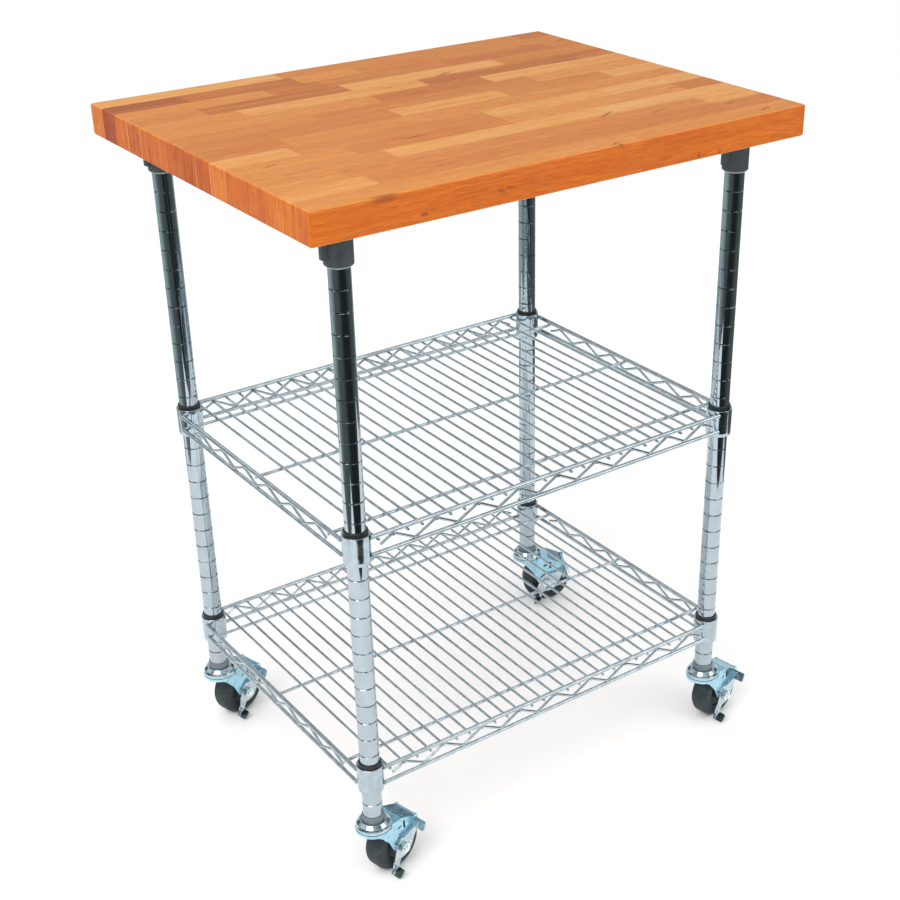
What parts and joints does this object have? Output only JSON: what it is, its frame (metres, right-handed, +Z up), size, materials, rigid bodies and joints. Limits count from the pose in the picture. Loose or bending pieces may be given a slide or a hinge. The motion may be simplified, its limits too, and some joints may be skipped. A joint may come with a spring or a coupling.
{
  "type": "kitchen island cart",
  "caption": "Rolling kitchen island cart with a butcher-block top on chromed grooved posts, open wire shelves and braked swivel casters.",
  "frame": {"origin": "on the floor, under the middle of the tabletop", "axes": "+X along the tabletop's long side, +Y from the front edge to the back, +Z up"},
  "size_m": [0.6968, 0.5334, 0.9144],
  "materials": {
    "butcher_block": "oiled cherry staves glued edge to edge, satin",
    "socket_plastic": "dark grey moulded nylon",
    "zinc_steel": "zinc plated steel",
    "chrome_post": "polished chrome plate",
    "chrome_wire": "bright chrome plated wire",
    "chrome_collar": "chrome plated collar",
    "sleeve_plastic": "black acetal",
    "ring_plastic": "grey moulded ring",
    "bright_zinc": "bright zinc plate",
    "blue_zinc": "blue passivated zinc plate",
    "rubber_tyre": "dark grey rubber, matt",
    "hub_plastic": "black polypropylene core"
  },
  "bodies": {
    "root": {"tabletop": "butcher_block", "socket_front_left": "socket_plastic", "socket_front_right": "socket_plastic", "socket_back_left": "socket_plastic", "socket_back_right": "socket_plastic", "socket_screws": "zinc_steel", "post_front_left": "chrome_post", "post_front_right": "chrome_post", "post_back_left": "chrome_post", "post_back_right": "chrome_post", "upper_shelf_deck": "chrome_wire", "upper_shelf_front_truss": "chrome_wire", "upper_shelf_back_truss": "chrome_wire", "upper_shelf_left_truss": "chrome_wire", "upper_shelf_right_truss": "chrome_wire", "upper_shelf_collars": "chrome_collar", "upper_shelf_sleeves": "sleeve_plastic", "lower_shelf_deck": "chrome_wire", "lower_shelf_front_truss": "chrome_wire", "lower_shelf_back_truss": "chrome_wire", "lower_shelf_left_truss": "chrome_wire", "lower_shelf_right_truss": "chrome_wire", "lower_shelf_collars": "chrome_collar", "lower_shelf_sleeves": "sleeve_plastic", "post_inserts": "zinc_steel", "post_rings": "ring_plastic", "front_left_caster_stem": "bright_zinc", "front_right_caster_stem": "bright_zinc", "back_left_caster_stem": "bright_zinc", "back_right_caster_stem": "bright_zinc"},
    "front_left_swivel": {"front_left_caster_ball_race": "bright_zinc", "front_left_caster_fork": "blue_zinc", "front_left_caster_fasteners": "bright_zinc"},
    "front_left_wheel": {"front_left_caster_tyre": "rubber_tyre", "front_left_caster_wheel_hub": "hub_plastic"},
    "front_left_pedal": {"front_left_caster_brake_pedal": "blue_zinc"},
    "front_left_shoe": {"front_left_caster_brake_shoe": "blue_zinc"},
    "front_right_swivel": {"front_right_caster_ball_race": "bright_zinc", "front_right_caster_fork": "blue_zinc", "front_right_caster_fasteners": "bright_zinc"},
    "front_right_wheel": {"front_right_caster_tyre": "rubber_tyre", "front_right_caster_wheel_hub": "hub_plastic"},
    "front_right_pedal": {"front_right_caster_brake_pedal": "blue_zinc"},
    "front_right_shoe": {"front_right_caster_brake_shoe": "blue_zinc"},
    "back_left_swivel": {"back_left_caster_ball_race": "bright_zinc", "back_left_caster_fork": "blue_zinc", "back_left_caster_fasteners": "bright_zinc"},
    "back_left_wheel": {"back_left_caster_tyre": "rubber_tyre", "back_left_caster_wheel_hub": "hub_plastic"},
    "back_left_pedal": {"back_left_caster_brake_pedal": "blue_zinc"},
    "back_left_shoe": {"back_left_caster_brake_shoe": "blue_zinc"},
    "back_right_swivel": {"back_right_caster_ball_race": "bright_zinc", "back_right_caster_fork": "blue_zinc", "back_right_caster_fasteners": "bright_zinc"},
    "back_right_wheel": {"back_right_caster_tyre": "rubber_tyre", "back_right_caster_wheel_hub": "hub_plastic"},
    "back_right_pedal": {"back_right_caster_brake_pedal": "blue_zinc"},
    "back_right_shoe": {"back_right_caster_brake_shoe": "blue_zinc"}
  },
  "joints": [
    {"name": "front_left_swivel_turn", "type": "hinge", "parent": "root", "child": "front_left_swivel", "pos_m": [-0.2825, -0.214, 0.0838], "axis": [0, 0, 1], "continuous": true},
    {"name": "front_left_wheel_roll", "type": "hinge", "parent": "front_left_swivel", "child": "front_left_wheel", "pos_m": [-0.25333, -0.207, 0.0375], "axis": [-0.2334, 0.9724, 0], "continuous": true},
    {"name": "front_left_pedal_press", "type": "hinge", "parent": "front_left_swivel", "child": "front_left_pedal", "pos_m": [-0.25333, -0.207, 0.0375], "axis": [-0.2334, 0.9724, 0], "range_deg": [0, 20]},
    {"name": "front_left_shoe_swing", "type": "hinge", "parent": "front_left_swivel", "child": "front_left_shoe", "pos_m": [-0.22571, -0.20037, 0.0689], "axis": [-0.2334, 0.9724, 0], "range_deg": [0, 5]},
    {"name": "front_right_swivel_turn", "type": "hinge", "parent": "root", "child": "front_right_swivel", "pos_m": [0.2825, -0.214, 0.0838], "axis": [0, 0, 1], "continuous": true},
    {"name": "front_right_wheel_roll", "type": "hinge", "parent": "front_right_swivel", "child": "front_right_wheel", "pos_m": [0.31204, -0.20879, 0.0375], "axis": [-0.1736, 0.9848, 0], "continuous": true},
    {"name": "front_right_pedal_press", "type": "hinge", "parent": "front_right_swivel", "child": "front_right_pedal", "pos_m": [0.31204, -0.20879, 0.0375], "axis": [-0.1736, 0.9848, 0], "range_deg": [0, 20]},
    {"name": "front_right_shoe_swing", "type": "hinge", "parent": "front_right_swivel", "child": "front_right_shoe", "pos_m": [0.34001, -0.20386, 0.0689], "axis": [-0.1736, 0.9848, 0], "range_deg": [0, 5]},
    {"name": "back_left_swivel_turn", "type": "hinge", "parent": "root", "child": "back_left_swivel", "pos_m": [-0.2825, 0.214, 0.0838], "axis": [0, 0, 1], "continuous": true},
    {"name": "back_left_wheel_roll", "type": "hinge", "parent": "back_left_swivel", "child": "back_left_wheel", "pos_m": [-0.25352, 0.22176, 0.0375], "axis": [-0.2588, 0.9659, 0], "continuous": true},
    {"name": "back_left_pedal_press", "type": "hinge", "parent": "back_left_swivel", "child": "back_left_pedal", "pos_m": [-0.25352, 0.22176, 0.0375], "axis": [-0.2588, 0.9659, 0], "range_deg": [0, 20]},
    {"name": "back_left_shoe_swing", "type": "hinge", "parent": "back_left_swivel", "child": "back_left_shoe", "pos_m": [-0.22609, 0.22912, 0.0689], "axis": [-0.2588, 0.9659, 0], "range_deg": [0, 5]},
    {"name": "back_right_swivel_turn", "type": "hinge", "parent": "root", "child": "back_right_swivel", "pos_m": [0.2825, 0.214, 0.0838], "axis": [0, 0, 1], "continuous": true},
    {"name": "back_right_wheel_roll", "type": "hinge", "parent": "back_right_swivel", "child": "back_right_wheel", "pos_m": [0.30848, 0.199, 0.0375], "axis": [0.5, 0.866, 0], "continuous": true},
    {"name": "back_right_pedal_press", "type": "hinge", "parent": "back_right_swivel", "child": "back_right_pedal", "pos_m": [0.30848, 0.199, 0.0375], "axis": [0.5, 0.866, 0], "range_deg": [0, 20]},
    {"name": "back_right_shoe_swing", "type": "hinge", "parent": "back_right_swivel", "child": "back_right_shoe", "pos_m": [0.33308, 0.1848, 0.0689], "axis": [0.5, 0.866, 0], "range_deg": [0, 5]}
  ],
  "couplings": [
    {"joint": "front_left_shoe_swing", "follows": "front_left_pedal_press", "ratio": 0.25},
    {"joint": "front_right_shoe_swing", "follows": "front_right_pedal_press", "ratio": 0.25},
    {"joint": "back_left_shoe_swing", "follows": "back_left_pedal_press", "ratio": 0.25},
    {"joint": "back_right_shoe_swing", "follows": "back_right_pedal_press", "ratio": 0.25}
  ]
}
